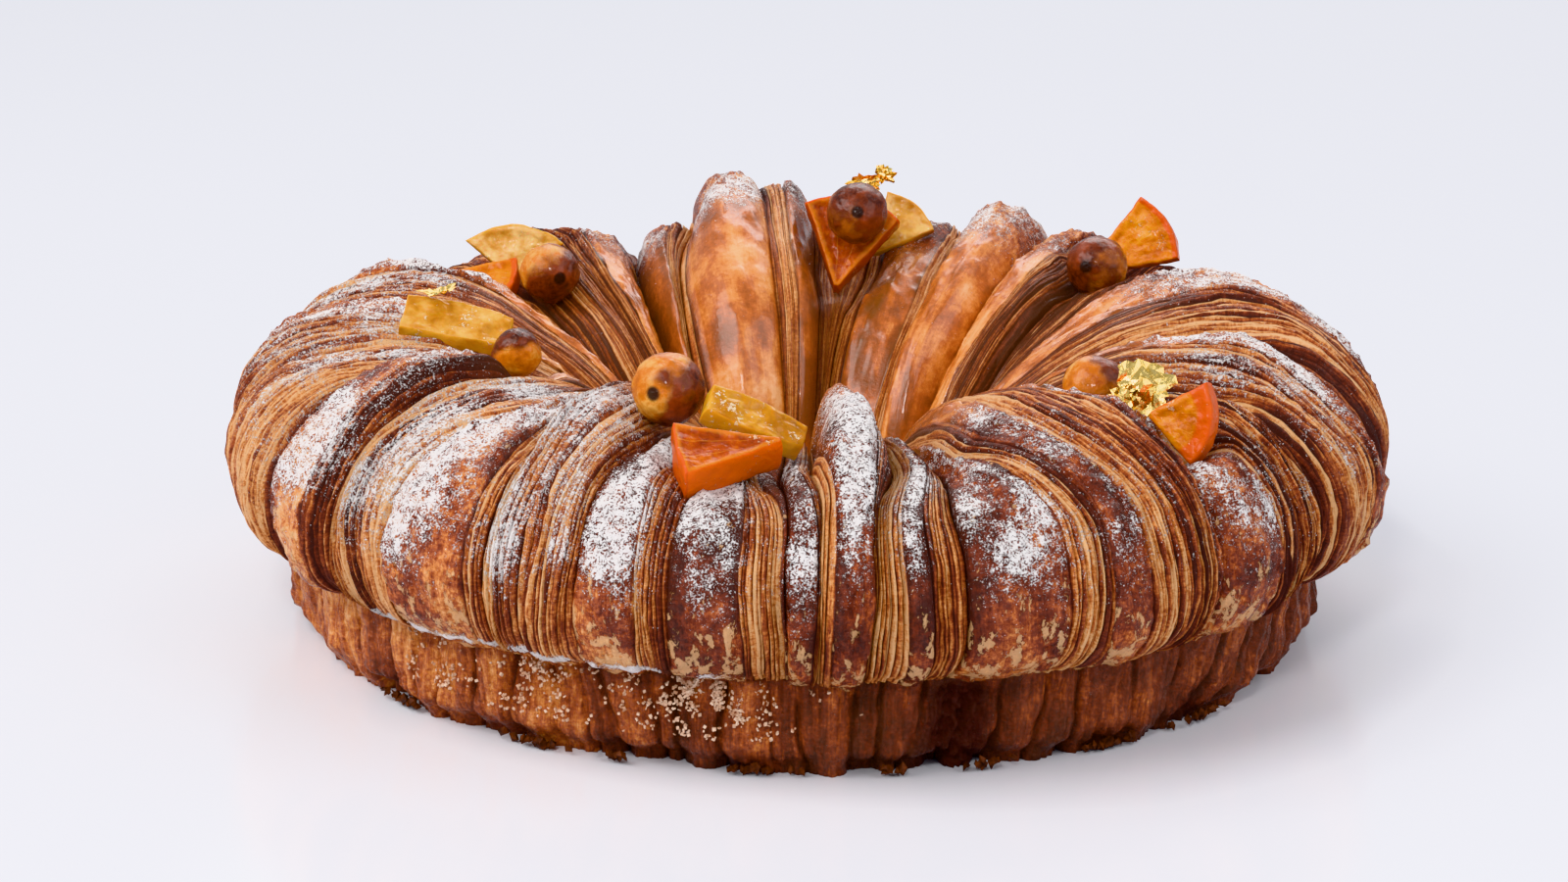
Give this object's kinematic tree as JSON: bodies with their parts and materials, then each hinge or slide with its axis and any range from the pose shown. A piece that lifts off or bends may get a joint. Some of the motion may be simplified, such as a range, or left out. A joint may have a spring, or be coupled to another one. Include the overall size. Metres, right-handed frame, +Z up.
{
  "type": "brioche king cake",
  "caption": "Round laminated brioche king cake with a central hole, its crest set with caramelised hazelnuts, candied orange and citron.",
  "frame": {"origin": "on the surface the cake stands on, under the middle of its bounds", "axes": "+Z up; -Y is the cake's front; +X to the right seen from the front"},
  "size_m": [0.2434, 0.2432, 0.0778],
  "materials": {
    "crust": "baked laminated dough, golden to dark brown, egg-washed, dusted with icing sugar",
    "hazelnut": "caramelised whole nut, glossy",
    "orange_peel": "candied orange, translucent and sticky",
    "citron_peel": "candied citron, translucent, with a crust of sugar"
  },
  "bodies": {
    "root": {"brioche_ring": "crust", "orange_front": "orange_peel", "citron_front": "citron_peel", "hazelnut_front": "hazelnut", "citron_left": "citron_peel", "hazelnut_left": "hazelnut", "orange_back_left": "orange_peel", "citron_back_left": "citron_peel", "hazelnut_back_left": "hazelnut", "orange_back": "orange_peel", "citron_back": "citron_peel", "hazelnut_back": "hazelnut", "orange_back_right": "orange_peel", "hazelnut_back_right": "hazelnut", "orange_right": "orange_peel", "hazelnut_right": "hazelnut"}
  },
  "joints": []
}
